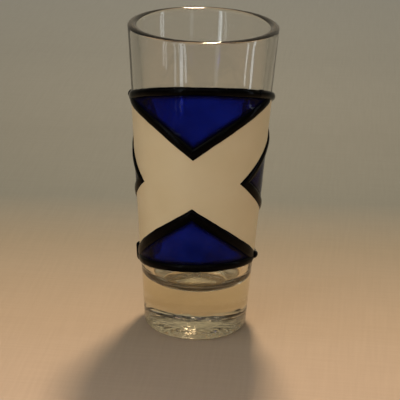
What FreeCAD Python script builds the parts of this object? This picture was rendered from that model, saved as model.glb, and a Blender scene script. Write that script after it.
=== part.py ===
import FreeCAD, Part
import math
import os

import Sketcher

# A tall pressed shot glass with a hand-painted flag on its outside.
# Millimetres, +Z up.  The origin is on the axis, in the plane that the glass stands on.
# Angles go round the glass: 0 is the middle of the flag, at -Y, and 90 is at +X.

doc = FreeCAD.newDocument("shot_glass")

# ---------------------------------------------------------------- sizes
SIZES = {
    # the glass
    "glass_height": 90.0,
    "rim_radius": 21.2,
    "foot_radius": 14.9,
    "rim_wall": 2.5,
    "floor_height": 14.0,
    "floor_radius": 12.8,
    "floor_round": 5.0,
    "rim_round": 1.15,
    "foot_round": 1.3,
    "hollow_radius": 10.4,
    "hollow_depth": 1.3,
    "notch_count": 32,
    "notch_width": 0.7,
    "notch_depth": 0.35,
    # the relief paste: half-round cords of black paint
    "border_width": 2.3,
    "edge_width": 2.0,
    "chevron_width": 2.7,
    "side_chevron_width": 2.5,
    "border_rise": 0.9,
    "chevron_rise": 0.8,
    "blob_swell": 1.05,
    "chevron_tuck": 0.6,
    # the films of glass paint
    "blue_thickness": 0.25,
    "white_thickness": 0.15,
    # the two long borders: each is a ring that leans towards one side
    "top_border_height": 68.75,
    "top_border_lean": 7.6,
    "top_border_angle": 7.7,
    "bottom_border_height": 20.75,
    "bottom_border_lean": 2.65,
    "bottom_border_angle": 20.0,
    # the upright edges of the flag
    "left_edge_angle": -122.0,
    "right_edge_angle": 134.0,
    # the chevrons: the tip, where the two strokes end, and how far each stroke bows out
    "top_chevron_tip_height": 57.9,
    "top_chevron_left_angle": -77.0,
    "top_chevron_right_angle": 77.0,
    "top_chevron_left_bow": 2.6,
    "top_chevron_right_bow": 2.0,
    "bottom_chevron_tip_height": 39.9,
    "bottom_chevron_left_angle": -86.0,
    "bottom_chevron_right_angle": 82.0,
    "left_chevron_tip_angle": -57.5,
    "left_chevron_tip_height": 46.6,
    "left_chevron_upper_height": 61.0,
    "left_chevron_lower_height": 33.0,
    "left_chevron_bow": 0.8,
    "right_chevron_tip_angle": 49.8,
    "right_chevron_tip_height": 48.1,
    "right_chevron_upper_height": 61.5,
    "right_chevron_lower_height": 30.8,
    "right_chevron_bow": 1.9,
}

sheet = doc.addObject("Spreadsheet::Sheet", "Sizes")
for row, (alias, value) in enumerate(SIZES.items(), start=1):
    sheet.set(f"A{row}", alias)
    sheet.set(f"B{row}", str(value))
    sheet.setAlias(f"B{row}", alias)
doc.recompute()

# Slack that keeps a cutting tool clear of the face it enters through.
CLEAR = 1.0
# Part of a turn between two points of a painted stroke, in degrees.
STROKE_STEP = 8.0


def size(alias):
    """One driving dimension, read back from the sheet."""
    return float(sheet.get(alias))


# ---------------------------------------------------------------- the glass
def origin_part(body, role):
    """The body's own origin plane or axis that has this role."""
    return next(item for item in body.Origin.OriginFeatures if item.Role == role)


def add_sketch(body, name, plane):
    """An empty sketch on one of the body's origin planes."""
    sketch = body.newObject("Sketcher::SketchObject", name)
    sketch.AttachmentSupport = [(origin_part(body, plane), "")]
    sketch.MapMode = "FlatFace"
    return sketch


def draw_polygon(sketch, points):
    """A closed polygon, its corners joined."""
    count = len(points)
    for index in range(count):
        start = FreeCAD.Vector(*points[index], 0)
        end = FreeCAD.Vector(*points[(index + 1) % count], 0)
        sketch.addGeometry(Part.LineSegment(start, end), False)
    for index in range(count):
        sketch.addConstraint(Sketcher.Constraint("Coincident", index, 2, (index + 1) % count, 1))


def bind_point(sketch, line, name, across, up):
    """Drive the start point of a line from the origin; None leaves it on that axis."""
    for axis, kind, expression in (("x", "DistanceX", across), ("y", "DistanceY", up)):
        if expression is None:
            on_axis = -2 if axis == "x" else -1
            sketch.addConstraint(Sketcher.Constraint("PointOnObject", line, 1, on_axis))
        else:
            place = sketch.Geometry[line].StartPoint
            value = place.x if axis == "x" else place.y
            index = sketch.addConstraint(Sketcher.Constraint(kind, -1, 1, line, 1, value))
            sketch.renameConstraint(index, f"{name}_{axis}")
            sketch.setExpression(f"Constraints.{name}_{axis}", expression)


def edge_at(shape, radius, height):
    """The name of the round edge about the axis with this radius and height."""
    for index, edge in enumerate(shape.Edges, start=1):
        curve = edge.Curve
        if not isinstance(curve, Part.Circle):
            continue
        if abs(curve.Radius - radius) < 1e-3 and abs(curve.Center.z - height) < 1e-3:
            return f"Edge{index}"
    raise RuntimeError(f"no round edge with radius {radius} at height {height}")


def add_fillet(body, name, base, places, alias):
    """Round the edges found at the given radius and height pairs."""
    fillet = body.newObject("PartDesign::Fillet", name)
    fillet.Base = (base, [edge_at(base.Shape, radius, height) for radius, height in places])
    fillet.Radius = size(alias)
    fillet.setExpression("Radius", f"Sizes.{alias}")
    doc.recompute()
    return fillet


def build_tumbler():
    """The pressed glass: a tapered wall, a rounded cup and a thick foot with a hollow underside."""
    body = doc.addObject("PartDesign::Body", "tumbler")

    corners = (
        ("axis_foot", None, None),
        ("foot", "Sizes.foot_radius", None),
        ("rim", "Sizes.rim_radius", "Sizes.glass_height"),
        ("lip", "Sizes.rim_radius - Sizes.rim_wall", "Sizes.glass_height"),
        ("cup", "Sizes.floor_radius", "Sizes.floor_height"),
        ("axis_cup", None, "Sizes.floor_height"),
    )
    lip_radius = size("rim_radius") - size("rim_wall")
    section = add_sketch(body, "wall_section", "XZ_Plane")
    draw_polygon(section, (
        (0, 0),
        (size("foot_radius"), 0),
        (size("rim_radius"), size("glass_height")),
        (lip_radius, size("glass_height")),
        (size("floor_radius"), size("floor_height")),
        (0, size("floor_height")),
    ))
    for line, (name, across, up) in enumerate(corners):
        bind_point(section, line, name, across, up)
    doc.recompute()

    wall = body.newObject("PartDesign::Revolution", "wall")
    wall.Profile = section
    wall.ReferenceAxis = (section, ["V_Axis"])
    wall.Angle = 360.0
    doc.recompute()

    places = ((size("rim_radius"), size("glass_height")), (lip_radius, size("glass_height")))
    rim = add_fillet(body, "rim_rounding", wall, places, "rim_round")
    cup = add_fillet(body, "cup_rounding", rim,
                     ((size("floor_radius"), size("floor_height")),), "floor_round")
    foot = add_fillet(body, "foot_rounding", cup, ((size("foot_radius"), 0.0),), "foot_round")

    # The hollow is a shallow cone turned out of the underside.
    hollow_section = add_sketch(body, "hollow_section", "XZ_Plane")
    draw_polygon(hollow_section, (
        (0, 0),
        (size("hollow_radius"), 0),
        (size("hollow_radius") / 2, size("hollow_depth")),
        (0, size("hollow_depth")),
    ))
    bind_point(hollow_section, 0, "axis_low", None, None)
    bind_point(hollow_section, 1, "edge", "Sizes.hollow_radius", None)
    bind_point(hollow_section, 2, "slope", "Sizes.hollow_radius / 2", "Sizes.hollow_depth")
    bind_point(hollow_section, 3, "axis_high", None, "Sizes.hollow_depth")
    doc.recompute()
    hollow = body.newObject("PartDesign::Groove", "underside_hollow")
    hollow.Profile = hollow_section
    hollow.ReferenceAxis = (hollow_section, ["V_Axis"])
    hollow.Angle = 360.0
    doc.recompute()

    # Short grip notches cross the ring that the glass stands on.
    inner = size("hollow_radius") - CLEAR / 2
    outer = size("foot_radius") - size("foot_round")
    half = size("notch_width") / 2
    notch_section = add_sketch(body, "notch_section", "XY_Plane")
    draw_polygon(notch_section, ((inner, -half), (outer, -half), (outer, half), (inner, half)))
    inner_text = f"Sizes.hollow_radius - {CLEAR / 2}"
    outer_text = "Sizes.foot_radius - Sizes.foot_round"
    for line, (name, across, side) in enumerate((
        ("inner_near", inner_text, "-"),
        ("outer_near", outer_text, "-"),
        ("outer_far", outer_text, ""),
        ("inner_far", inner_text, ""),
    )):
        bind_point(notch_section, line, name, across, f"{side}Sizes.notch_width / 2")
    doc.recompute()
    notch = body.newObject("PartDesign::Pocket", "grip_notch")
    notch.Profile = notch_section
    notch.Type = "Length"
    notch.setExpression("Length", "Sizes.notch_depth")
    notch.Reversed = True
    doc.recompute()

    ring = body.newObject("PartDesign::PolarPattern", "grip_notches")
    ring.Originals = [notch]
    ring.Axis = (origin_part(body, "Z_Axis"), [""])
    ring.Angle = 360.0
    ring.setExpression("Occurrences", "Sizes.notch_count")
    body.Tip = ring
    doc.recompute()

    for before, after in ((foot, hollow), (hollow, notch), (notch, ring)):
        if after.Shape.Volume >= before.Shape.Volume:
            raise RuntimeError(f"{after.Name} cut nothing")
    return body


# ---------------------------------------------------------------- where the paint lies
def cone_radius(height):
    """Radius of the outside of the glass."""
    slope = (size("rim_radius") - size("foot_radius")) / size("glass_height")
    return size("foot_radius") + slope * height


def on_glass(angle, height, lift=0.0):
    """The point of the outside at this angle and height, lifted off it by lift."""
    radius = cone_radius(height) + lift
    turn = math.radians(angle)
    return FreeCAD.Vector(radius * math.sin(turn), -radius * math.cos(turn), height)


def seam_behind(low, high, lift=0.0):
    """The outside of the glass between two heights as a plain cone, its seam in the unpainted gap."""
    cone = Part.makeCone(cone_radius(low) + lift, cone_radius(high) + lift, high - low,
                         FreeCAD.Vector(0, 0, low))
    cone.rotate(FreeCAD.Vector(0, 0, 0), FreeCAD.Vector(0, 0, 1), 90)
    return cone


def border_height(border, angle):
    """Height of a border's centre line: a ring that leans."""
    turn = math.radians(angle - size(f"{border}_border_angle"))
    return size(f"{border}_border_height") + size(f"{border}_border_lean") * math.cos(turn)


def border_course(border):
    """The course of a border from the flag's left edge to its right edge."""
    left = size("left_edge_angle")
    right = size("right_edge_angle")

    def course(share):
        angle = left + (right - left) * share
        return angle, border_height(border, angle)
    return course


def stroke_course(start, end, bow=0.0):
    """A course from start to end, each an angle and a height, bowed upwards in its middle."""
    def course(share):
        angle = start[0] + (end[0] - start[0]) * share
        height = start[1] + (end[1] - start[1]) * share + bow * math.sin(math.pi * share)
        return angle, height
    return course


def edge_course(side):
    """The upright edge of the flag, between the two borders."""
    angle = size(f"{side}_edge_angle")
    return stroke_course((angle, border_height("bottom", angle)), (angle, border_height("top", angle)))


def level_chevron_courses(border, inward):
    """The two strokes of the chevron that hangs from, or stands on, a border."""
    tip = (0.0, size(f"{border}_chevron_tip_height"))
    courses = []
    for side in ("left", "right"):
        angle = size(f"{border}_chevron_{side}_angle")
        end = (angle, border_height(border, angle) + inward * size("chevron_tuck"))
        bow = size(f"{border}_chevron_{side}_bow") if border == "top" else 0.0
        courses.append(stroke_course(tip, end, bow))
    return courses


def side_chevron_courses(side):
    """The two strokes of the chevron whose ends meet an upright edge, bowed away from each other."""
    tip = (size(f"{side}_chevron_tip_angle"), size(f"{side}_chevron_tip_height"))
    edge = size(f"{side}_edge_angle")
    bow = size(f"{side}_chevron_bow")
    ends = ((size(f"{side}_chevron_upper_height"), bow), (size(f"{side}_chevron_lower_height"), -bow))
    return [stroke_course(tip, (edge, height), bend) for height, bend in ends]


# ---------------------------------------------------------------- the relief cords
def cord_section(width, rise):
    """Radius of a cord's round section, and its centre's height above the face of the glass."""
    radius = ((width / 2) ** 2 + rise ** 2) / (2 * rise)
    return radius, rise - radius


def round_stroke(course, width, rise):
    """A round cord swept along a course, its centre sunk below the face of the glass."""
    radius, lift = cord_section(width, rise)
    turn = abs(course(1)[0] - course(0)[0])
    count = max(4, math.ceil(turn / STROKE_STEP))
    points = [on_glass(*course(index / count), lift) for index in range(count + 1)]
    curve = Part.BSplineCurve()
    curve.interpolate(points)
    path = curve.toShape()
    tangent = path.tangentAt(path.FirstParameter)
    section = Part.Wire([Part.Circle(points[0], tangent, radius).toShape()])
    return Part.Wire([path]).makePipeShell([section], True, False)


def round_bar(course, width, rise):
    """A straight cord, for a course that runs straight up the glass."""
    radius, lift = cord_section(width, rise)
    low = on_glass(*course(0), lift)
    high = on_glass(*course(1), lift)
    return Part.makeCylinder(radius, (high - low).Length, low, high - low)


def round_blob(place, width, rise):
    """The rounded end or corner of a cord, a little fatter than the cord."""
    radius, lift = cord_section(width, rise)
    return Part.makeSphere(radius * size("blob_swell"), on_glass(*place, lift))


def plan_cords():
    """For each cord: its courses, its blobs, its width and the cords laid before it that stop it."""
    plans = {}
    for border in ("top", "bottom"):
        course = border_course(border)
        plans[f"{border}_border"] = ([course], [course(0), course(1)], "border_width", [])
    for side in ("left", "right"):
        stops = ["top_border", "bottom_border"]
        plans[f"{side}_edge"] = ([edge_course(side)], [], "edge_width", stops)
    for border, inward in (("top", -1), ("bottom", 1)):
        courses = level_chevron_courses(border, inward)
        stops = [f"{border}_border"]
        plans[f"{border}_chevron"] = (courses, [courses[0](0)], "chevron_width", stops)
    for side in ("left", "right"):
        courses = side_chevron_courses(side)
        stops = [f"{side}_edge"]
        plans[f"{side}_chevron"] = (courses, [courses[0](0)], "side_chevron_width", stops)
    return plans


def build_cords():
    """The eight cords, in the order they are piped: a later one stops at an earlier one."""
    glass = seam_behind(0.0, size("glass_height"))
    cords = []
    rounds = {}
    for label, (courses, blobs, width_alias, stops) in plan_cords().items():
        width = size(width_alias)
        rise = size("chevron_rise" if label.endswith("chevron") else "border_rise")
        draw = round_bar if label.endswith("edge") else round_stroke
        solids = [draw(course, width, rise) for course in courses]
        solids += [round_blob(place, width, rise) for place in blobs]
        rounds[label] = solids[0].fuse(solids[1:]) if len(solids) > 1 else solids[0]
        cord = doc.addObject("Part::Feature", f"{label}_cord")
        trimmed = rounds[label].cut(glass)
        for stop in stops:
            trimmed = trimmed.cut(rounds[stop])
        cord.Shape = trimmed.Solids[0]
        cords.append(cord)
    return cords, list(rounds.values())


# ---------------------------------------------------------------- the films of paint
def film_shell(thickness):
    """A skin of this thickness all round the painted height of the glass."""
    low = size("floor_height")
    high = size("glass_height") - size("rim_round") * 2
    return seam_behind(low, high, thickness).cut(seam_behind(low, high))


def piece_holding(shape, point):
    """The solid of a shape that holds this point."""
    for solid in shape.Solids:
        if solid.isInside(point, 1e-4, False):
            return solid
    raise RuntimeError("no film lies there")


def build_films(rounds):
    """Each film fills one field of the flag, up to the cords round it."""
    level = (size("top_chevron_tip_height") + size("bottom_chevron_tip_height")) / 2
    fields = {
        "top_blue_film": (0.0, (border_height("top", 0) + size("top_chevron_tip_height")) / 2),
        "bottom_blue_film": (0.0, (border_height("bottom", 0) + size("bottom_chevron_tip_height")) / 2),
        "left_blue_film": ((size("left_edge_angle") + size("left_chevron_tip_angle")) / 2, level),
        "right_blue_film": ((size("right_edge_angle") + size("right_chevron_tip_angle")) / 2, level),
        "white_saltire_film": (0.0, level),
    }
    films = []
    for thickness, colour in ((size("blue_thickness"), "blue"), (size("white_thickness"), "white")):
        pieces = film_shell(thickness).cut(rounds)
        for label, place in fields.items():
            if colour not in label:
                continue
            film = doc.addObject("Part::Feature", label)
            film.Shape = piece_holding(pieces, on_glass(*place, thickness / 2))
            films.append(film)
    return films


# ---------------------------------------------------------------- checks and files
def check_document():
    """Stop if any object of the document failed."""
    for item in doc.Objects:
        if "Invalid" in item.State or "Error" in item.State:
            raise RuntimeError(f"{item.Name} failed: {item.State}")


def check_shape(item):
    """Stop unless the sub-part is one sound solid."""
    shape = item.Shape
    if shape.isNull() or not shape.isValid() or len(shape.Solids) != 1:
        raise RuntimeError(f"{item.Label} is not one sound solid")
    print(f"{item.Label:20s} {shape.Volume:10.2f} mm3  {len(shape.Faces)} faces")


tumbler = build_tumbler()
cords, rounds = build_cords()
films = build_films(rounds)
doc.recompute()

sub_parts = [tumbler] + cords + films
for item in sub_parts:
    item.Label = item.Name
check_document()
for item in sub_parts:
    check_shape(item)

os.makedirs("parts", exist_ok=True)
for item in sub_parts:
    item.Shape.exportStep(f"parts/{item.Label}.step")
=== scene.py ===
import math

import bmesh
import bpy
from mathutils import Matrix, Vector


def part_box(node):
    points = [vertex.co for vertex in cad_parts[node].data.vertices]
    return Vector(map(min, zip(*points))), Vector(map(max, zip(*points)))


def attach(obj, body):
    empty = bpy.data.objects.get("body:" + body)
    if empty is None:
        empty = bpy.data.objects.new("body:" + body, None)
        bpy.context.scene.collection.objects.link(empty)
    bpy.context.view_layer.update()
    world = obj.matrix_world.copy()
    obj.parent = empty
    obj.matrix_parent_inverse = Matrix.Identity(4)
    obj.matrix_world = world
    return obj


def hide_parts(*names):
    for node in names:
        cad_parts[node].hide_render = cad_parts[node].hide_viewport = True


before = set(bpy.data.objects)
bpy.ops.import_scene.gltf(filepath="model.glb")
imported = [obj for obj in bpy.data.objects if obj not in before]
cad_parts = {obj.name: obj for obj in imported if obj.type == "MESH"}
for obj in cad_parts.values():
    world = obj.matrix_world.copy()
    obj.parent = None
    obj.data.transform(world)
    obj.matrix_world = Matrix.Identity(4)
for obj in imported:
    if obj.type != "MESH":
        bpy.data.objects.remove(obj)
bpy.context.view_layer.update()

# A tall pressed shot glass, hand-painted with a diagonal-cross flag that wraps most of the way round.
# Shapes are worked out in millimetres and turned into metres where a mesh is made.
# Angles go round the glass in degrees: 0 is the middle of the flag, at -Y, and 90 is at +X.
MM = 0.001

# ---------------------------------------------------------------- sizes of the glass
low_corner, high_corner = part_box("tumbler")
HEIGHT = (high_corner[2] - low_corner[2]) / MM
RIM_RADIUS = 21.2
FOOT_RADIUS = 14.9
RIM_WALL = 2.5
FLOOR_HEIGHT = 14.0
FLOOR_RADIUS = 12.8
FLOOR_ROUND = 5.0
LIP_TALL = 0.8
FOOT_ROUND = 1.3
HOLLOW_RADIUS = 10.4
HOLLOW_DEPTH = 1.3
HOLLOW_FLATNESS = 1.6
NOTCHES = 32
NOTCH_DEPTH = 0.35
NOTCH_START = HOLLOW_RADIUS - 0.9
NOTCH_END = FOOT_RADIUS - 0.4
PLAIN_HEIGHT = FOOT_ROUND * 2
WAVE_FADE_IN = 8.0
WAVE_FADE_OUT = 4.0
INNER_WAVE = 0.045
OUTER_WAVE = 0.018
OUTER_WAVE_SUM = 1.6

# How finely the glass is cut: round its axis, and along each stretch of its section.
SEGMENTS = 384
HOLLOW_STEPS = 14
RING_STEPS = 6
FOOT_STEPS = 8
OUTER_STEPS = 44
RIM_STEPS = 28
INNER_STEPS = 40
CUP_STEPS = 14
CUP_FLOOR_STEPS = 8
ON_AXIS = 1e-6

# ---------------------------------------------------------------- sizes of the painting
BORDER_WIDTH = 2.45
EDGE_WIDTH = 2.0
CHEVRON_WIDTH = 2.95
SIDE_CHEVRON_WIDTH = 2.6
BORDER_RISE = 0.78
CHEVRON_RISE = 0.72
CORD_ROOT = -0.06
FILM_ROOT = -0.03
LEFT_EDGE = -122.0
RIGHT_EDGE = 134.0

# Each border is a ring that leans: its middle height, how far it swings, and where it is highest.
TOP_BORDER = (68.75, 7.6, 7.7)
BOTTOM_BORDER = (20.75, 2.65, 20.0)

# How far the strokes of the chevrons bow.
TOP_LEFT_BOW = 2.6
TOP_RIGHT_BOW = 2.0
LEFT_BOW = 0.8
RIGHT_BOW = 1.9


def cone_radius(height):
    """Radius of the outside of the glass."""
    return FOOT_RADIUS + (RIM_RADIUS - FOOT_RADIUS) * height / HEIGHT


def on_glass(angle, height, lift=0.0):
    """A point on the outside of the glass, lifted off it, in metres."""
    radius = (cone_radius(height) + lift) * MM
    turn = math.radians(angle)
    return Vector((radius * math.sin(turn), -radius * math.cos(turn), height * MM))


def ripple(place, seed, waves=((0.31, 1.0), (0.73, 0.6), (1.57, 0.35))):
    """A smooth uneven number between about -1 and 1, the same on every run."""
    total = sum(weight * math.sin(rate * place + seed * (1.7 + rate)) for rate, weight in waves)
    return total / sum(weight for rate, weight in waves)


# ---------------------------------------------------------------- courses of the painted lines
def leaning_ring(ring, angle):
    """Height of a leaning ring (middle height, swing, angle of its highest point) at an angle."""
    middle, swing, highest = ring
    return middle + swing * math.cos(math.radians(angle - highest))


def top_border(angle):
    """Height of the top border."""
    return leaning_ring(TOP_BORDER, angle)


def bottom_border(angle):
    """Height of the bottom border."""
    return leaning_ring(BOTTOM_BORDER, angle)


def line_between(start, end, bow=0.0):
    """Height as a function of angle, from one (angle, height) to another, bowed up in its middle."""
    def height(angle):
        share = (angle - start[0]) / (end[0] - start[0])
        inside = min(max(share, 0.0), 1.0)
        return start[1] + (end[1] - start[1]) * share + bow * math.sin(math.pi * inside)

    return height


# Where the strokes of the chevrons start and end, as (angle, height).
TOP_TIP = (0.0, 57.9)
TOP_LEFT = (-77.0, top_border(-77.0) - 0.5)
TOP_RIGHT = (77.0, top_border(77.0) - 0.4)
BOTTOM_TIP = (0.0, 39.9)
BOTTOM_LEFT = (-86.0, bottom_border(-86.0) + 0.5)
BOTTOM_RIGHT = (82.0, bottom_border(82.0) + 0.4)
LEFT_TIP = (-57.5, 46.6)
LEFT_UPPER = (LEFT_EDGE, 61.0)
LEFT_LOWER = (LEFT_EDGE, 33.0)
RIGHT_TIP = (49.8, 48.1)
RIGHT_UPPER = (RIGHT_EDGE, 61.5)
RIGHT_LOWER = (RIGHT_EDGE, 30.8)

top_left_line = line_between(TOP_TIP, TOP_LEFT, TOP_LEFT_BOW)
top_right_line = line_between(TOP_TIP, TOP_RIGHT, TOP_RIGHT_BOW)
bottom_left_line = line_between(BOTTOM_TIP, BOTTOM_LEFT)
bottom_right_line = line_between(BOTTOM_TIP, BOTTOM_RIGHT)
left_upper_line = line_between(LEFT_TIP, LEFT_UPPER, LEFT_BOW)
left_lower_line = line_between(LEFT_TIP, LEFT_LOWER, -LEFT_BOW)
right_upper_line = line_between(RIGHT_TIP, RIGHT_UPPER, RIGHT_BOW)
right_lower_line = line_between(RIGHT_TIP, RIGHT_LOWER, -RIGHT_BOW)


# ---------------------------------------------------------------- meshes
def add_mesh(name, points, faces, material):
    """A smooth mesh object from points in metres."""
    mesh = bpy.data.meshes.new(name)
    mesh.from_pydata([tuple(point) for point in points], [], faces)
    mesh.update()
    mesh.polygons.foreach_set("use_smooth", [True] * len(mesh.polygons))
    mesh.materials.append(material)
    piece = bpy.data.objects.new(name, mesh)
    bpy.context.scene.collection.objects.link(piece)
    return piece


def arc(centre, radius, start, end, steps):
    """Points of a round stretch of the glass's section, angles in degrees from the +r direction."""
    turns = [math.radians(start + (end - start) * index / steps) for index in range(steps + 1)]
    return [(centre[0] + radius * math.cos(turn), centre[1] + radius * math.sin(turn)) for turn in turns]


def straight(start, end, steps):
    """Points between two ends, without the ends."""
    return [(start[0] + (end[0] - start[0]) * index / steps,
             start[1] + (end[1] - start[1]) * index / steps) for index in range(1, steps)]


def lip(centre, half_wall, tall, steps):
    """The fire-polished rim: half an upright ellipse over the wall, from its outside to its inside."""
    turns = [math.pi * index / steps for index in range(steps + 1)]
    return [(centre[0] + half_wall * math.cos(turn), centre[1] + tall * math.sin(turn)) for turn in turns]


def glass_section():
    """The half section (radius, height) from the middle of the underside round to the cup's middle."""
    outer_slope = (RIM_RADIUS - FOOT_RADIUS) / HEIGHT
    inner_slope = (RIM_RADIUS - RIM_WALL - FLOOR_RADIUS) / (HEIGHT - FLOOR_HEIGHT)
    lean = math.degrees(math.atan(outer_slope))
    inner_lean = math.degrees(math.atan(inner_slope))

    foot_centre = (FOOT_RADIUS + outer_slope * FOOT_ROUND
                   - FOOT_ROUND / math.cos(math.radians(lean)), FOOT_ROUND)
    lip_base = HEIGHT - LIP_TALL
    lip_outer = cone_radius(lip_base)
    lip_inner = FLOOR_RADIUS + inner_slope * (lip_base - FLOOR_HEIGHT)
    cup_height = FLOOR_HEIGHT + FLOOR_ROUND
    inner_at_cup = FLOOR_RADIUS + inner_slope * FLOOR_ROUND
    cup_centre = (inner_at_cup - FLOOR_ROUND / math.cos(math.radians(inner_lean)), cup_height)

    shares = [index / HOLLOW_STEPS for index in range(HOLLOW_STEPS + 1)]
    hollow = [(HOLLOW_RADIUS * share,
               HOLLOW_DEPTH * 0.5 * (1 + math.cos(math.pi * share ** HOLLOW_FLATNESS)))
              for share in shares]
    ring = straight((HOLLOW_RADIUS, 0.0), (foot_centre[0], 0.0), RING_STEPS)
    foot = arc(foot_centre, FOOT_ROUND, -90, -lean, FOOT_STEPS)
    rim_middle = ((lip_outer + lip_inner) / 2, lip_base)
    rim = lip(rim_middle, (lip_outer - lip_inner) / 2, LIP_TALL, RIM_STEPS)
    cup = arc(cup_centre, FLOOR_ROUND, -inner_lean, -90, CUP_STEPS)
    outer_wall = straight(foot[-1], rim[0], OUTER_STEPS)
    inner_wall = straight(rim[-1], cup[0], INNER_STEPS)
    centre = (0.0, FLOOR_HEIGHT)
    floor = straight(cup[-1], centre, CUP_FLOOR_STEPS) + [centre]
    return hollow + ring + foot + outer_wall + rim + inner_wall + cup + floor


def notch_lift(radius, angle):
    """How far the ring under the foot is pressed up by its row of small grip marks."""
    if not NOTCH_START < radius < NOTCH_END:
        return 0.0
    wave = 0.5 + 0.5 * math.cos(math.radians(angle) * NOTCHES)
    across = math.sin(math.pi * (radius - NOTCH_START) / (NOTCH_END - NOTCH_START))
    uneven = 0.8 + 0.2 * ripple(angle * 0.4, 2.0)
    return NOTCH_DEPTH * wave ** 3 * across * uneven


def wall_wave(radius, height, angle, inside):
    """The slight unevenness of pressed glass, in the wall only and never past its true outside."""
    if height < PLAIN_HEIGHT:
        return 0.0
    turn = math.radians(angle)
    grow = min(1.0, (height - PLAIN_HEIGHT) / WAVE_FADE_IN)
    fade = min(1.0, max(0.0, (HEIGHT - height) / WAVE_FADE_OUT))
    if inside:
        wave = (math.sin(5 * turn + 0.6) + 0.7 * math.sin(9 * turn + 2.0 + height * 0.01)
                + 0.5 * math.sin(16 * turn + 4.1 - height * 0.02))
        return INNER_WAVE * wave * grow * fade
    wave = math.sin(4 * turn + 1.1) + 0.6 * math.sin(11 * turn + height * 0.015)
    return OUTER_WAVE * (wave - OUTER_WAVE_SUM) * grow * fade


def build_tumbler(material):
    """The glass, spun from its section, with the small unevenness that pressed glass has."""
    section = glass_section()
    inner_from = max(range(len(section)), key=lambda index: section[index][1])
    points = []
    rings = []
    for index, (radius, height) in enumerate(section):
        if radius < ON_AXIS:
            rings.append([len(points)])
            points.append(Vector((0, 0, height * MM)))
            continue
        ring = []
        inside = index > inner_from
        for step in range(SEGMENTS):
            angle = 360 * step / SEGMENTS
            out = radius + wall_wave(radius, height, angle, inside)
            up = height
            if height < FOOT_ROUND * 0.5 and not inside:
                up += notch_lift(radius, angle)
            turn = math.radians(angle)
            ring.append(len(points))
            points.append(Vector((out * math.sin(turn), -out * math.cos(turn), up)) * MM)
        rings.append(ring)
    faces = []
    for lower, upper in zip(rings, rings[1:]):
        for step in range(SEGMENTS):
            after = (step + 1) % SEGMENTS
            if len(lower) == 1:
                faces.append((lower[0], upper[after], upper[step]))
            elif len(upper) == 1:
                faces.append((lower[step], lower[after], upper[0]))
            else:
                faces.append((lower[step], lower[after], upper[after], upper[step]))
    return add_mesh("glass", points, faces, material)


# ---------------------------------------------------------------- relief cords
SECTION_STEPS = 12
CORD_STEP = 0.45
WIDTH_RIPPLE = 0.07
RISE_RIPPLE = 0.10
END_LEAST = 0.08
BEAD_FULLNESS = 0.8


def surface_offset(angle, height, along, up):
    """Move over the face of the glass by millimetres sideways and up."""
    return angle + math.degrees(along / cone_radius(height)), height + up


def sample_line(line, start, end):
    """Points of a line on the glass, close together, as (angle, height)."""
    length = abs(math.radians(end - start)) * cone_radius(line(start))
    steps = max(8, int(length / CORD_STEP))
    return [(start + (end - start) * index / steps,
             line(start + (end - start) * index / steps)) for index in range(steps + 1)]


def direction(path, index):
    """Unit direction of a path over the face of the glass at one of its points."""
    before = path[max(index - 1, 0)]
    after = path[min(index + 1, len(path) - 1)]
    across = math.radians(after[0] - before[0]) * cone_radius(path[index][1])
    up = after[1] - before[1]
    length = math.hypot(across, up)
    return across / length, up / length


def corner_stretch(path, corner):
    """How much longer the section is across a corner, and the direction that bisects it."""
    into = direction(path[:corner + 1], corner)
    out = direction(path[corner:], 0)
    mid = (into[0] + out[0], into[1] + out[1])
    size = math.hypot(*mid)
    mid = (mid[0] / size, mid[1] / size)
    return mid, 1.0 / max(0.4, mid[0] * into[0] + mid[1] * into[1])


def cord_mesh(path, width, rise, seed, points, faces, corner=None, taper=(1.0, 1.0)):
    """Add one piped cord along a path: a low round bead with round ends and uneven width."""
    count = len(path)
    places = [0.0]
    for index in range(1, count):
        across = math.radians(path[index][0] - path[index - 1][0]) * cone_radius(path[index][1])
        places.append(places[-1] + math.hypot(across, path[index][1] - path[index - 1][1]))
    total = places[-1]
    first = len(points)
    for index, (angle, height) in enumerate(path):
        place = places[index]
        share = place / total
        thinning = taper[0] + (taper[1] - taper[0]) * share
        half = 0.5 * width * (1 + WIDTH_RIPPLE * ripple(place, seed)) * thinning
        top = rise * (1 + RISE_RIPPLE * ripple(place * 0.8, seed + 5.0))
        ending = min(place, total - place)
        if ending < half:
            closing = math.sqrt(max(0.0, 1 - (1 - ending / half) ** 2))
            closing = max(closing, END_LEAST)
            half *= closing
            top *= closing
        if corner is not None and index == corner:
            mid, stretch = corner_stretch(path, corner)
        else:
            side = path[:corner + 1] if corner is not None and index < corner else path
            here = index
            if corner is not None and index > corner:
                side = path[corner:]
                here = index - corner
            mid, stretch = direction(side, here), 1.0
        for step in range(SECTION_STEPS + 1):
            turn = math.pi * step / SECTION_STEPS
            aside = -math.cos(turn) * half * stretch
            lift = CORD_ROOT + (top - CORD_ROOT) * math.sin(turn) ** BEAD_FULLNESS
            place_angle, place_height = surface_offset(angle, height, -mid[1] * aside, mid[0] * aside)
            if corner is not None and index != corner:
                place_angle, place_height = keep_side(path, corner, index, place_angle, place_height)
            points.append(on_glass(place_angle, place_height, lift))
    row = SECTION_STEPS + 1
    for index in range(count - 1):
        base = first + index * row
        for step in range(SECTION_STEPS):
            faces.append((base + step, base + step + row, base + step + row + 1, base + step + 1))
        faces.append((base + SECTION_STEPS, base + SECTION_STEPS + row, base + row, base))
    faces.append(tuple(first + step for step in range(row)))
    faces.append(tuple(first + (count - 1) * row + step for step in reversed(range(row))))


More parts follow.
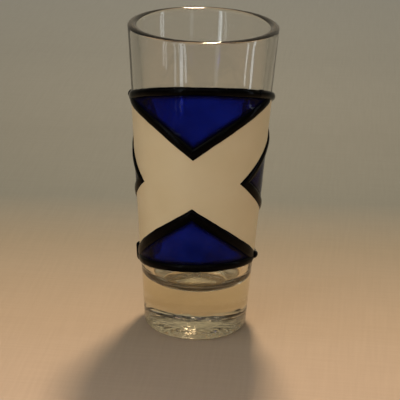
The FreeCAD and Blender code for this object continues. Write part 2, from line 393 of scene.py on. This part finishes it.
def keep_side(path, corner, index, angle, height):
    """Stop one stroke of a chevron from crossing the line that bisects its corner."""
    tip_angle, tip_height = path[corner]
    mid, _ = corner_stretch(path, corner)
    across = math.radians(angle - tip_angle) * cone_radius(tip_height)
    up = height - tip_height
    along = across * mid[0] + up * mid[1]
    wrong = along > 0 if index < corner else along < 0
    if wrong:
        across -= along * mid[0]
        up -= along * mid[1]
        return tip_angle + math.degrees(across / cone_radius(tip_height)), tip_height + up
    return angle, height


def build_cord(name, node, strokes, material):
    """One or more strokes of relief paste as one piece that stands for a CAD cord."""
    points = []
    faces = []
    for stroke in strokes:
        cord_mesh(points=points, faces=faces, **stroke)
    finish_piece(add_mesh(name, points, faces, material), node)


def chevron_path(first_line, first_end, tip, second_line, second_end):
    """The two strokes of a chevron as one path, and the index of its corner."""
    into = sample_line(first_line, first_end[0], tip[0])
    out = sample_line(second_line, tip[0], second_end[0])
    return into + out[1:], len(into) - 1


def upright_path(angle):
    """The course of an upright edge of the flag."""
    low = bottom_border(angle)
    high = top_border(angle)
    steps = int((high - low) / CORD_STEP)
    return [(angle + 0.8 * ripple(low + (high - low) * index / steps, angle),
             low + (high - low) * index / steps) for index in range(steps + 1)]


def finish_piece(piece, node):
    """Every piece stays with the glass and stands for its CAD node."""
    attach(piece, "root")
    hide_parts(node)


def short_path(start, end, steps=14):
    """A short straight stroke between two (angle, height) points."""
    return [(start[0] + (end[0] - start[0]) * index / steps,
             start[1] + (end[1] - start[1]) * index / steps) for index in range(steps + 1)]


# Where a hand-piped stroke stops, the paste is left standing in a thicker tail.
TAILS = {
    "bottom_chevron": [
        dict(path=short_path((78.0, 23.3), (90.0, 22.3)), width=2.5, rise=1.4, seed=14.2),
        dict(path=short_path((-84.5, 24.4), (-88.5, 18.2)), width=2.5, rise=1.3, seed=15.1),
    ],
    "top_chevron": [
        dict(path=short_path((-80.0, 69.4), (-92.0, 68.9)), width=2.1, rise=0.95, seed=16.7),
    ],
}


def build_cords(material):
    """The eight relief cords."""
    build_cord("top_border", "top_border_cord", [
        dict(path=sample_line(top_border, LEFT_EDGE, 76.0), width=BORDER_WIDTH, rise=BORDER_RISE,
             seed=1.3, taper=(1.0, 0.95)),
        dict(path=sample_line(lambda angle: top_border(angle) + 0.25, 54.0, RIGHT_EDGE),
             width=BORDER_WIDTH * 0.9, rise=BORDER_RISE * 1.25, seed=2.9),
    ], material)
    build_cord("bottom_border", "bottom_border_cord", [
        dict(path=sample_line(bottom_border, LEFT_EDGE, 79.0), width=BORDER_WIDTH, rise=BORDER_RISE,
             seed=4.1),
        dict(path=sample_line(lambda angle: bottom_border(angle) + 0.5, 72.0, RIGHT_EDGE),
             width=BORDER_WIDTH * 0.85, rise=BORDER_RISE * 1.1, seed=6.4),
    ], material)
    for name, angle, seed in (("left_edge", LEFT_EDGE, 7.7), ("right_edge", RIGHT_EDGE, 8.2)):
        build_cord(name, f"{name}_cord", [
            dict(path=upright_path(angle), width=EDGE_WIDTH, rise=BORDER_RISE, seed=seed),
        ], material)
    chevrons = (
        ("top_chevron", top_left_line, TOP_LEFT, TOP_TIP, top_right_line, TOP_RIGHT,
         CHEVRON_WIDTH, 9.6),
        ("bottom_chevron", bottom_left_line, BOTTOM_LEFT, BOTTOM_TIP, bottom_right_line, BOTTOM_RIGHT,
         CHEVRON_WIDTH, 10.3),
        ("left_chevron", left_upper_line, LEFT_UPPER, LEFT_TIP, left_lower_line, LEFT_LOWER,
         SIDE_CHEVRON_WIDTH, 11.8),
        ("right_chevron", right_upper_line, RIGHT_UPPER, RIGHT_TIP, right_lower_line, RIGHT_LOWER,
         SIDE_CHEVRON_WIDTH, 12.9),
    )
    for name, first_line, first_end, tip, second_line, second_end, width, seed in chevrons:
        path, corner = chevron_path(first_line, first_end, tip, second_line, second_end)
        strokes = [dict(path=path, width=width, rise=CHEVRON_RISE, seed=seed, corner=corner)]
        strokes += TAILS.get(name, [])
        build_cord(name, f"{name}_cord", strokes, material)


# ---------------------------------------------------------------- films of glass paint
FILM_STEP = 1.1
FILM_ROWS = 40
FILM_LEAST = 0.05
WELD = 1e-6

# Under a cord the paint is at its least up to UNDER_START, and grows to full over UNDER_BLEND.
UNDER_START = -0.45
UNDER_BLEND = 0.4

# Blue paint is stored darker this close to a cord, for the thicker paint there and the cords' painted
# shade, in the left and right corners of the two front fields and all over the side fields, both as
# painted shade. The corners are counted from CORNER_MIDDLE, which is the same angle as VIEW_TURN
# below: how dark they are was fitted in that one view.
CORD_THICK_AND_SHADE_REACH = 1.5
CORNER_MIDDLE = 5.5
CORNER_START = 41.0
CORNER_BLEND = 12.0
CORNER_SHADE = 0.9
SIDE_LIT_SHARE = 0.6


def top_chevron_line(angle):
    """Height of the top chevron."""
    return top_left_line(angle) if angle < TOP_TIP[0] else top_right_line(angle)


def bottom_chevron_line(angle):
    """Height of the bottom chevron."""
    return bottom_left_line(angle) if angle < BOTTOM_TIP[0] else bottom_right_line(angle)


# Every cord but the upright edges: its course, first angle, last angle and width.
CORD_LINES = (
    (top_border, LEFT_EDGE, RIGHT_EDGE, BORDER_WIDTH),
    (bottom_border, LEFT_EDGE, RIGHT_EDGE, BORDER_WIDTH),
    (top_left_line, TOP_LEFT[0], TOP_TIP[0], CHEVRON_WIDTH),
    (top_right_line, TOP_TIP[0], TOP_RIGHT[0], CHEVRON_WIDTH),
    (bottom_left_line, BOTTOM_LEFT[0], BOTTOM_TIP[0], CHEVRON_WIDTH),
    (bottom_right_line, BOTTOM_TIP[0], BOTTOM_RIGHT[0], CHEVRON_WIDTH),
    (left_upper_line, LEFT_EDGE, LEFT_TIP[0], SIDE_CHEVRON_WIDTH),
    (left_lower_line, LEFT_EDGE, LEFT_TIP[0], SIDE_CHEVRON_WIDTH),
    (right_upper_line, RIGHT_TIP[0], RIGHT_EDGE, SIDE_CHEVRON_WIDTH),
    (right_lower_line, RIGHT_TIP[0], RIGHT_EDGE, SIDE_CHEVRON_WIDTH),
)


def cord_gap(angle, height):
    """How far a point on the glass is from the side of the nearest cord, less than 0 under one."""
    degree = math.radians(1.0) * cone_radius(height)
    nearest = min(abs(angle - LEFT_EDGE), abs(angle - RIGHT_EDGE)) * degree - EDGE_WIDTH / 2
    for line, start, end, width in CORD_LINES:
        beyond = max(start - angle, angle - end, 0.0) * degree
        here = min(max(angle, start), end)
        slope = (line(here + 0.5) - line(here - 0.5)) / degree
        aside = abs(height - line(here)) / math.hypot(1.0, slope)
        nearest = min(nearest, math.hypot(aside, beyond) - width / 2)
    return nearest


def stations(breaks, step):
    """Angles from the first break to the last, close together, with every break among them."""
    angles = []
    for start, end in zip(breaks, breaks[1:]):
        count = max(1, round((end - start) / step))
        angles += [start + (end - start) * index / count for index in range(count)]
    return angles + [breaks[-1]]


def film_sheet(low_line, high_line, angles, thickness, points, faces, seam=None):
    """Add one closed sheet of paint between two lines: an outer face, an inner face and its sides.

    A seam is (row, first angle, last angle): no side is made there, because another sheet joins on.
    """
    width = FILM_ROWS + 1
    outer = len(points)
    inner = outer + len(angles) * width
    for lifted in (True, False):
        for angle in angles:
            low = low_line(angle)
            high = max(high_line(angle), low + 0.02)
            for row in range(width):
                height = low + (high - low) * row / FILM_ROWS
                lift = thickness(cord_gap(angle, height), angle, height) if lifted else FILM_ROOT
                points.append(on_glass(angle, height, lift))
    last = len(angles) - 1
    for column in range(last):
        for row in range(FILM_ROWS):
            a = column * width + row
            b = a + width
            faces.append((outer + a, outer + b, outer + b + 1, outer + a + 1))
            faces.append((inner + a, inner + a + 1, inner + b + 1, inner + b))
        for row in (0, FILM_ROWS):
            if seam and seam[0] == row and angles[column] >= seam[1] and angles[column + 1] <= seam[2]:
                continue
            a = column * width + row
            b = a + width
            side = (outer + a, inner + a, inner + b, outer + b)
            faces.append(side if row == 0 else side[::-1])
    for column in (0, last):
        for row in range(FILM_ROWS):
            a = column * width + row
            side = (outer + a, outer + a + 1, inner + a + 1, inner + a)
            faces.append(side if column == 0 else side[::-1])


def under_cord(gap):
    """From 1 in the open to 0 well under a cord, so that no paint comes through the cord."""
    return min(1.0, max(0.0, (gap - UNDER_START) / UNDER_BLEND))


def blue_thickness(gap, angle, height):
    """Poured paint climbs the cords round it and settles unevenly between them."""
    climb = 0.12 * math.exp(-max(0.0, gap) / 0.5)
    uneven = 0.03 * ripple(height * 0.9, angle * 0.05)
    return FILM_LEAST + under_cord(gap) * (0.15 + climb + uneven)


def white_thickness(gap, angle, height):
    """The white is brushed thinner, and climbs the cords a little."""
    climb = 0.05 * math.exp(-max(0.0, gap) / 0.4)
    uneven = 0.02 * ripple(height * 0.7 + angle * 0.11, 3.0)
    return FILM_LEAST + under_cord(gap) * (0.08 + climb + uneven)


def eased(value):
    """An S-shaped step from 0 to 1."""
    held = min(1.0, max(0.0, value))
    return held * held * (3.0 - 2.0 * held)


def store_clearness(piece, corners):
    """Give every point a value: near 0 by a cord, for thick paint and the cords' painted shade, lowered
    by painted shade in the front fields' corners and over the side fields; 1 in the open field.
    """
    shade_and_clearness = piece.data.attributes.new("shade_and_clearness", "FLOAT", "POINT")
    for vertex, entry in zip(piece.data.vertices, shade_and_clearness.data):
        x, y, z = vertex.co / MM
        angle = math.degrees(math.atan2(x, -y))
        # Darker close to a cord: thicker paint there, and the cords' painted shade.
        value = eased(cord_gap(angle, z) / CORD_THICK_AND_SHADE_REACH)
        # Painted shade in the left and right corners of the front fields.
        if corners:
            aside = abs(angle - CORNER_MIDDLE) - CORNER_START
            value *= 1.0 - CORNER_SHADE * eased(aside / CORNER_BLEND)
        else:
            # Painted shade all over the side fields.
            value *= SIDE_LIT_SHARE
        entry.value = value


def build_film(name, node, sheets, thickness, material):
    """One field of paint from one or more sheets, welded where they meet."""
    points = []
    faces = []
    for sheet in sheets:
        film_sheet(thickness=thickness, points=points, faces=faces, **sheet)
    piece = add_mesh(name, points, faces, material)
    work = bmesh.new()
    work.from_mesh(piece.data)
    bmesh.ops.remove_doubles(work, verts=work.verts, dist=WELD)
    work.to_mesh(piece.data)
    work.free()
    finish_piece(piece, node)
    return piece


def build_blues(material):
    """The four blue fields."""
    fields = (
        ("top_blue", top_chevron_line, top_border, (TOP_LEFT[0], TOP_TIP[0], TOP_RIGHT[0])),
        ("bottom_blue", bottom_border, bottom_chevron_line,
         (BOTTOM_LEFT[0], BOTTOM_TIP[0], BOTTOM_RIGHT[0])),
        ("left_blue", left_lower_line, left_upper_line, (LEFT_EDGE, LEFT_TIP[0])),
        ("right_blue", right_lower_line, right_upper_line, (RIGHT_TIP[0], RIGHT_EDGE)),
    )
    for name, low_line, high_line, breaks in fields:
        sheet = dict(low_line=low_line, high_line=high_line, angles=stations(breaks, FILM_STEP))
        piece = build_film(name, f"{name}_film", [sheet], blue_thickness, material)
        in_front = breaks[0] < 0.0 < breaks[-1]
        store_clearness(piece, corners=in_front)


def build_white(material):
    """The white cross: an upper and a lower sheet, welded along a line between the side tips."""
    def ceiling(angle):
        inside = TOP_LEFT[0] <= angle <= TOP_RIGHT[0]
        return top_chevron_line(angle) if inside else top_border(angle)

    def ground(angle):
        inside = BOTTOM_LEFT[0] <= angle <= BOTTOM_RIGHT[0]
        return bottom_chevron_line(angle) if inside else bottom_border(angle)

    middle = line_between(LEFT_TIP, RIGHT_TIP)

    def upper_floor(angle):
        if angle < LEFT_TIP[0]:
            return left_upper_line(angle)
        return right_upper_line(angle) if angle > RIGHT_TIP[0] else middle(angle)

    def lower_ceiling(angle):
        if angle < LEFT_TIP[0]:
            return left_lower_line(angle)
        return right_lower_line(angle) if angle > RIGHT_TIP[0] else middle(angle)

    breaks = (LEFT_EDGE, BOTTOM_LEFT[0], TOP_LEFT[0], LEFT_TIP[0], TOP_TIP[0], RIGHT_TIP[0],
              TOP_RIGHT[0], BOTTOM_RIGHT[0], RIGHT_EDGE)
    angles = stations(breaks, FILM_STEP)
    sheets = [
        dict(low_line=upper_floor, high_line=ceiling, angles=angles,
             seam=(0, LEFT_TIP[0], RIGHT_TIP[0])),
        dict(low_line=ground, high_line=lower_ceiling, angles=angles,
             seam=(FILM_ROWS, LEFT_TIP[0], RIGHT_TIP[0])),
    ]
    build_film("white_saltire", "white_saltire_film", sheets, white_thickness, material)


# ---------------------------------------------------------------- materials
# Colours are linear. A ramp is a list of (position, colour).
GLASS_IOR = 1.5
GLASS_TINT_TOP = 0.026
# The glass's own warm tint in its thick base, made darkest at the underside as painted shade that dims
# the foot.
GLASS_TINT_AND_SHADE = (
    (0.04, (0.59, 0.54, 0.405)),
    (0.2, (0.75, 0.68, 0.475)),
    (0.42, (0.76, 0.69, 0.48)),
    (0.6, (0.90, 0.83, 0.62)),
    (1.0, (0.966, 0.953, 0.930)),
)
STIPPLE_FULL = 0.0008
STIPPLE_END = 0.0022
WAVE_SHARE = 0.12
BLACK_GLOSS = 0.04
BLACK_SHADES = ((0.3, (0.0004, 0.0004, 0.0006)), (0.7, (0.0014, 0.0013, 0.0014)))
BLUE_IOR = 1.15
BLUE_GLOSS = 0.06
BLUE_SHADES = ((0.3, (0.003, 0.009, 0.27)), (0.7, (0.008, 0.026, 0.55)))
# Near-black blue where the paint is thick and where shade is painted.
BLUE_THICK_AND_SHADE = (0.0005, 0.0005, 0.006, 1.0)
BLUE_OPEN_FROM = 0.12
BLUE_OPEN = 0.95
WHITE_SHADES = ((0.3, (0.70, 0.568, 0.345)), (0.7, (0.745, 0.615, 0.393)))
WHITE_GLOW = 0.08


def new_material(name):
    """A node material, with its Principled shader."""
    material = bpy.data.materials.new(name)
    material.use_nodes = True
    nodes = material.node_tree.nodes
    return material, nodes, material.node_tree.links, nodes["Principled BSDF"]


def add_noise(nodes, links, scale, detail=3.0, stretch=(1, 1, 1)):
    """Noise in the object's own metres."""
    place = nodes.new("ShaderNodeTexCoord")
    mapping = nodes.new("ShaderNodeMapping")
    mapping.inputs["Scale"].default_value = stretch
    noise = nodes.new("ShaderNodeTexNoise")
    noise.inputs["Scale"].default_value = scale
    noise.inputs["Detail"].default_value = detail
    links.new(place.outputs["Object"], mapping.inputs["Vector"])
    links.new(mapping.outputs["Vector"], noise.inputs["Vector"])
    return noise


def add_ramp(nodes, links, source, stops):
    """A colour ramp fed by a value."""
    ramp = nodes.new("ShaderNodeValToRGB")
    elements = ramp.color_ramp.elements
    while len(elements) < len(stops):
        elements.new(0.5)
    for element, (position, colour) in zip(elements, stops):
        element.position = position
        element.color = (*colour, 1.0)
    links.new(source, ramp.inputs["Fac"])
    return ramp


def add_range(nodes, links, source, low, high, source_low=0.3, source_high=0.7):
    """A value between low and high, from a source that runs over its own range."""
    spread = nodes.new("ShaderNodeMapRange")
    spread.inputs["From Min"].default_value = source_low
    spread.inputs["From Max"].default_value = source_high
    spread.inputs["To Min"].default_value = low
    spread.inputs["To Max"].default_value = high
    links.new(source, spread.inputs["Value"])
    return spread


def add_bump(nodes, links, shader, source, strength, distance):
    """Small relief from a value."""
    bump = nodes.new("ShaderNodeBump")
    bump.inputs["Strength"].default_value = strength
    bump.inputs["Distance"].default_value = distance
    links.new(source, bump.inputs["Height"])
    links.new(bump.outputs["Normal"], shader.inputs["Normal"])


def glass_material():
    """Clear pressed glass: warmer where thick, darkest underneath as painted shade, faintly rippled,
    stippled under the foot.
    """
    material, nodes, links, shader = new_material("clear_pressed_glass")
    shader.inputs["IOR"].default_value = GLASS_IOR
    shader.inputs["Transmission Weight"].default_value = 1.0
    place = nodes.new("ShaderNodeTexCoord")
    split = nodes.new("ShaderNodeSeparateXYZ")
    links.new(place.outputs["Object"], split.inputs["Vector"])
    low = add_range(nodes, links, split.outputs["Z"], 0.0, 1.0, 0.0, GLASS_TINT_TOP)
    ramp = add_ramp(nodes, links, low.outputs["Result"], GLASS_TINT_AND_SHADE)
    links.new(ramp.outputs["Color"], shader.inputs["Base Color"])
    marks = add_noise(nodes, links, 260.0, 4.0)
    rough = add_range(nodes, links, marks.outputs["Fac"], 0.0, 0.02)
    links.new(rough.outputs["Result"], shader.inputs["Roughness"])
    under = add_range(nodes, links, split.outputs["Z"], 1.0, 0.0, STIPPLE_FULL, STIPPLE_END)
    stipple = add_noise(nodes, links, 700.0, 1.0)
    pressed = nodes.new("ShaderNodeMath")
    pressed.operation = "MULTIPLY"
    links.new(stipple.outputs["Fac"], pressed.inputs[0])
    links.new(under.outputs["Result"], pressed.inputs[1])
    wave = add_noise(nodes, links, 90.0, 1.0, (1, 1, 0.25))
    relief = nodes.new("ShaderNodeMath")
    relief.operation = "MULTIPLY_ADD"
    relief.inputs[1].default_value = WAVE_SHARE
    links.new(wave.outputs["Fac"], relief.inputs[0])
    links.new(pressed.outputs["Value"], relief.inputs[2])
    add_bump(nodes, links, shader, relief.outputs["Value"], 1.0, 0.0006)
    return material


def black_material():
    """Glossy black relief paste with a slightly crawled skin."""
    material, nodes, links, shader = new_material("black_relief_paste")
    shader.inputs["IOR"].default_value = GLASS_IOR
    shader.inputs["Specular IOR Level"].default_value = BLACK_GLOSS
    shade = add_noise(nodes, links, 500.0)
    ramp = add_ramp(nodes, links, shade.outputs["Fac"], BLACK_SHADES)
    links.new(ramp.outputs["Color"], shader.inputs["Base Color"])
    skin = add_noise(nodes, links, 900.0, 4.0)
    rough = add_range(nodes, links, skin.outputs["Fac"], 0.08, 0.22)
    links.new(rough.outputs["Result"], shader.inputs["Roughness"])
    pits = add_noise(nodes, links, 1400.0, 2.0)
    add_bump(nodes, links, shader, pits.outputs["Fac"], 0.35, 0.00012)
    return material


def blue_material():
    """Deep blue transparent glass paint, poured and self-levelled, near black where it is thick and in
    painted shade.
    """
    material, nodes, links, shader = new_material("blue_glass_paint")
    shader.inputs["IOR"].default_value = BLUE_IOR
    shader.inputs["Specular IOR Level"].default_value = BLUE_GLOSS
    pool = add_noise(nodes, links, 130.0, 3.0)
    ramp = add_ramp(nodes, links, pool.outputs["Fac"], BLUE_SHADES)
    shade_and_clearness = nodes.new("ShaderNodeAttribute")
    shade_and_clearness.attribute_name = "shade_and_clearness"
    colour = nodes.new("ShaderNodeMix")
    colour.data_type = "RGBA"
    shaded_input, clear_input = [socket for socket in colour.inputs if socket.type == "RGBA"]
    colour_output = [socket for socket in colour.outputs if socket.type == "RGBA"][0]
    shaded_input.default_value = BLUE_THICK_AND_SHADE
    links.new(shade_and_clearness.outputs["Fac"], colour.inputs["Factor"])
    links.new(ramp.outputs["Color"], clear_input)
    links.new(colour_output, shader.inputs["Base Color"])
    # Where thick paint and painted shade are stored, the paint lets less light through, down to none.
    through = add_range(nodes, links, shade_and_clearness.outputs["Fac"], 0.0, BLUE_OPEN, 0.0, BLUE_OPEN_FROM)
    links.new(through.outputs["Result"], shader.inputs["Transmission Weight"])
    skin = add_noise(nodes, links, 400.0, 2.0)
    rough = add_range(nodes, links, skin.outputs["Fac"], 0.03, 0.10)
    links.new(rough.outputs["Result"], shader.inputs["Roughness"])
    wave = add_noise(nodes, links, 220.0, 2.0)
    add_bump(nodes, links, shader, wave.outputs["Fac"], 0.3, 0.0003)
    return material


def white_material():
    """Creamy translucent white glass paint: it glows with the light that falls on its back."""
    material, nodes, links, shader = new_material("white_glass_paint")
    cloud = add_noise(nodes, links, 70.0, 4.0)
    ramp = add_ramp(nodes, links, cloud.outputs["Fac"], WHITE_SHADES)
    links.new(ramp.outputs["Color"], shader.inputs["Base Color"])
    skin = add_noise(nodes, links, 500.0, 3.0)
    rough = add_range(nodes, links, skin.outputs["Fac"], 0.35, 0.5)
    links.new(rough.outputs["Result"], shader.inputs["Roughness"])
    wave = add_noise(nodes, links, 260.0, 2.0)
    add_bump(nodes, links, shader, wave.outputs["Fac"], 0.2, 0.0002)
    glow = nodes.new("ShaderNodeBsdfTranslucent")
    links.new(ramp.outputs["Color"], glow.inputs["Color"])
    mix = nodes.new("ShaderNodeMixShader")
    mix.inputs["Fac"].default_value = WHITE_GLOW
    output = nodes["Material Output"]
    links.new(shader.outputs["BSDF"], mix.inputs[1])
    links.new(glow.outputs["BSDF"], mix.inputs[2])
    links.new(mix.outputs["Shader"], output.inputs["Surface"])
    return material


# ---------------------------------------------------------------- stage, lights, camera
VIEW_TURN = math.radians(5.5)
AHEAD = Vector((-math.sin(VIEW_TURN), math.cos(VIEW_TURN), 0))
RIGHT = Vector((math.cos(VIEW_TURN), math.sin(VIEW_TURN), 0))
UP = Vector((0, 0, 1))

# Camera: how far it is from the axis, how high, its turn, tilt and roll in radians, and its lens.
VIEW_DISTANCE = 0.4348
VIEW_HEIGHT = 0.198
VIEW_YAW = 0.001
VIEW_PITCH = 0.353
VIEW_ROLL = 0.029
LENS = 144.5
SENSOR = 36.0

# The cloth's colour from its near end to its far end, both as places ahead of the axis. Besides the
# cloth's own warm and grey colours, its brightness is painted light and shade: brightest just in front
# of the glass, darkest a little behind it, lighter again far off.
CLOTH_NEAR = -0.30
CLOTH_FAR = 0.50
CLOTH_COLOUR_AND_LIGHT_STOPS = (
    (0.0, (0.25, 0.195, 0.15)),
    (0.20, (0.38, 0.29, 0.225)),
    (0.29, (0.475, 0.355, 0.26)),
    (0.376, (0.355, 0.275, 0.195)),
    (0.45, (0.225, 0.195, 0.145)),
    (0.505, (0.15, 0.16, 0.145)),
    (0.60, (0.18, 0.19, 0.175)),
    (0.75, (0.265, 0.28, 0.265)),
    (1.0, (0.495, 0.52, 0.50)),
)
WEAVE_SCALE = 1100.0
WEAVE_DARKEST = 0.97
WEAVE_LIGHTEST = 1.03
FLOOR_STEPS = 96
FLOOR_RINGS = (0.2, 0.5, 1.2, 3.0, 8.0)

# Lights: places are (right, ahead, up) from the camera's side.
AIM = Vector((0, 0, 0.045))
LAMP_PLACE = (0.020, 0.138, 0.345)
LAMP_SIZE = (0.04, 0.04)
LAMP_POWER = 1.40
LAMP_COLOUR = (1.0, 0.775, 0.545)
SPOT_PLACE = (-0.28, -0.07, 0.46)
SPOT_SIZE = (0.009, 0.009)
SPOT_POWER = 0.12
SPOT_COLOUR = (0.92, 0.95, 1.0)
PANE_TALL = 0.21
PANE_HEIGHT = 0.12
PANE_COLOUR = (0.78, 0.90, 1.0)

# Each pane of the window: name, right, ahead, width, power.
WINDOW_PANES = (
    ("left_pane", -0.070, -0.117, 0.010, 0.030),
    ("left_far_pane", -0.087, -0.103, 0.006, 0.009),
    ("right_pane", 0.150, -0.026, 0.010, 0.030),
    ("middle_pane", 0.055, -0.140, 0.016, 0.006),
)

# The room's light, from behind the glass (0) to in front of it on the left (1).
ROOM_STOPS = (
    (0.0, (0.46, 0.40, 0.30)),
    (0.35, (0.28, 0.24, 0.18)),
    (0.5, (0.15, 0.145, 0.13)),
    (0.66, (0.19, 0.18, 0.16)),
    (1.0, (0.82, 0.76, 0.66)),
)
ROOM_FRONT = -AHEAD * 0.90 - RIGHT * 0.36 + UP * 0.25


def from_view(right, ahead, up):
    """A place given from the camera's side of the glass, in metres."""
    return RIGHT * right + AHEAD * ahead + UP * up


def cloth_material():
    """A pale woven cloth, warm near the glass and greyer further off, its brightness along it painted
    light.
    """
    material, nodes, links, shader = new_material("pale_cloth")
    place = nodes.new("ShaderNodeTexCoord")
    ahead = nodes.new("ShaderNodeVectorMath")
    ahead.operation = "DOT_PRODUCT"
    ahead.inputs[1].default_value = AHEAD
    links.new(place.outputs["Object"], ahead.inputs[0])
    far = add_range(nodes, links, ahead.outputs["Value"], 0.0, 1.0, CLOTH_NEAR, CLOTH_FAR)
    # The cloth's own colours with painted light: brightest just in front of the glass.
    ramp = add_ramp(nodes, links, far.outputs["Result"], CLOTH_COLOUR_AND_LIGHT_STOPS)
    shader.inputs["Roughness"].default_value = 0.9
    warp = add_noise(nodes, links, WEAVE_SCALE, 1.0, (1, 0.04, 1))
    weft = add_noise(nodes, links, WEAVE_SCALE, 1.0, (0.04, 1, 1))
    threads = nodes.new("ShaderNodeMath")
    threads.operation = "ADD"
    links.new(warp.outputs["Fac"], threads.inputs[0])
    links.new(weft.outputs["Fac"], threads.inputs[1])
    shade = add_range(nodes, links, threads.outputs["Value"], WEAVE_DARKEST, WEAVE_LIGHTEST, 0.7, 1.3)
    woven = nodes.new("ShaderNodeVectorMath")
    woven.operation = "SCALE"
    links.new(ramp.outputs["Color"], woven.inputs["Vector"])
    links.new(shade.outputs["Result"], woven.inputs["Scale"])
    links.new(woven.outputs["Vector"], shader.inputs["Base Color"])
    add_bump(nodes, links, shader, threads.outputs["Value"], 0.1, 0.0002)
    return material


def build_floor():
    """A wide round floor."""
    steps = FLOOR_STEPS
    points = [Vector((0, 0, 0))]
    for radius in FLOOR_RINGS:
        points += [Vector((radius * math.cos(math.tau * step / steps),
                           radius * math.sin(math.tau * step / steps), 0)) for step in range(steps)]
    faces = [(0, 1 + step, 1 + (step + 1) % steps) for step in range(steps)]
    for ring in range(len(FLOOR_RINGS) - 1):
        base = 1 + ring * steps
        for step in range(steps):
            after = (step + 1) % steps
            faces.append((base + step, base + steps + step, base + steps + after, base + after))
    floor = add_mesh("floor", points, faces, cloth_material())


def add_area(name, place, target, size, power, colour):
    """A rectangular light that the camera doesn't see, only what it lights and its reflections."""
    data = bpy.data.lights.new(name, "AREA")
    data.shape = "RECTANGLE"
    data.size, data.size_y = size
    data.energy = power
    data.color = colour
    light = bpy.data.objects.new(name, data)
    light.location = place
    light.rotation_euler = (target - place).to_track_quat("-Z", "Y").to_euler()
    light.visible_camera = False
    bpy.context.scene.collection.objects.link(light)


def build_lights():
    """A warm lamp above and behind, cool window panes in front and a small spot on the ceiling."""
    add_area("lamp", from_view(*LAMP_PLACE), AIM, LAMP_SIZE, LAMP_POWER, LAMP_COLOUR)
    for name, right, ahead, wide, power in WINDOW_PANES:
        add_area(name, from_view(right, ahead, PANE_HEIGHT), UP * PANE_HEIGHT, (wide, PANE_TALL),
                 power, PANE_COLOUR)
    add_area("ceiling_spot", from_view(*SPOT_PLACE), AIM, SPOT_SIZE, SPOT_POWER, SPOT_COLOUR)


def build_room():
    """Soft light from the room, brightest from in front on the left."""
    world = bpy.data.worlds.new("soft_room")
    world.use_nodes = True
    nodes = world.node_tree.nodes
    links = world.node_tree.links
    background = nodes["Background"]
    place = nodes.new("ShaderNodeTexCoord")
    toward = nodes.new("ShaderNodeVectorMath")
    toward.operation = "DOT_PRODUCT"
    toward.inputs[1].default_value = ROOM_FRONT
    links.new(place.outputs["Generated"], toward.inputs[0])
    facing = add_range(nodes, links, toward.outputs["Value"], 0.0, 1.0, -1.0, 1.0)
    ramp = add_ramp(nodes, links, facing.outputs["Result"], ROOM_STOPS)
    links.new(ramp.outputs["Color"], background.inputs["Color"])
    background.inputs["Strength"].default_value = 1.0
    bpy.context.scene.world = world


def build_camera():
    """A long lens, a little above the rim, that looks down on the glass."""
    data = bpy.data.cameras.new("camera")
    data.sensor_width = SENSOR
    data.lens = LENS
    data.clip_start = 0.02
    camera = bpy.data.objects.new("camera", data)
    level = AHEAD * math.cos(VIEW_YAW) + RIGHT * math.sin(VIEW_YAW)
    look = level * math.cos(VIEW_PITCH) - UP * math.sin(VIEW_PITCH)
    side = look.cross(UP).normalized()
    above = side.cross(look).normalized()
    tilted_side = side * math.cos(VIEW_ROLL) + above * math.sin(VIEW_ROLL)
    tilted_above = above * math.cos(VIEW_ROLL) - side * math.sin(VIEW_ROLL)
    camera.location = from_view(0.0, -VIEW_DISTANCE, VIEW_HEIGHT)
    matrix = camera.matrix_basis.to_3x3()
    matrix.col[0] = tilted_side
    matrix.col[1] = tilted_above
    matrix.col[2] = -look
    camera.rotation_euler = matrix.to_euler()
    bpy.context.scene.collection.objects.link(camera)
    bpy.context.scene.camera = camera


tumbler = build_tumbler(glass_material())
finish_piece(tumbler, "tumbler")
build_cords(black_material())
build_blues(blue_material())
build_white(white_material())
build_floor()
build_lights()
build_room()
build_camera()
bpy.context.scene.view_settings.view_transform = "Standard"
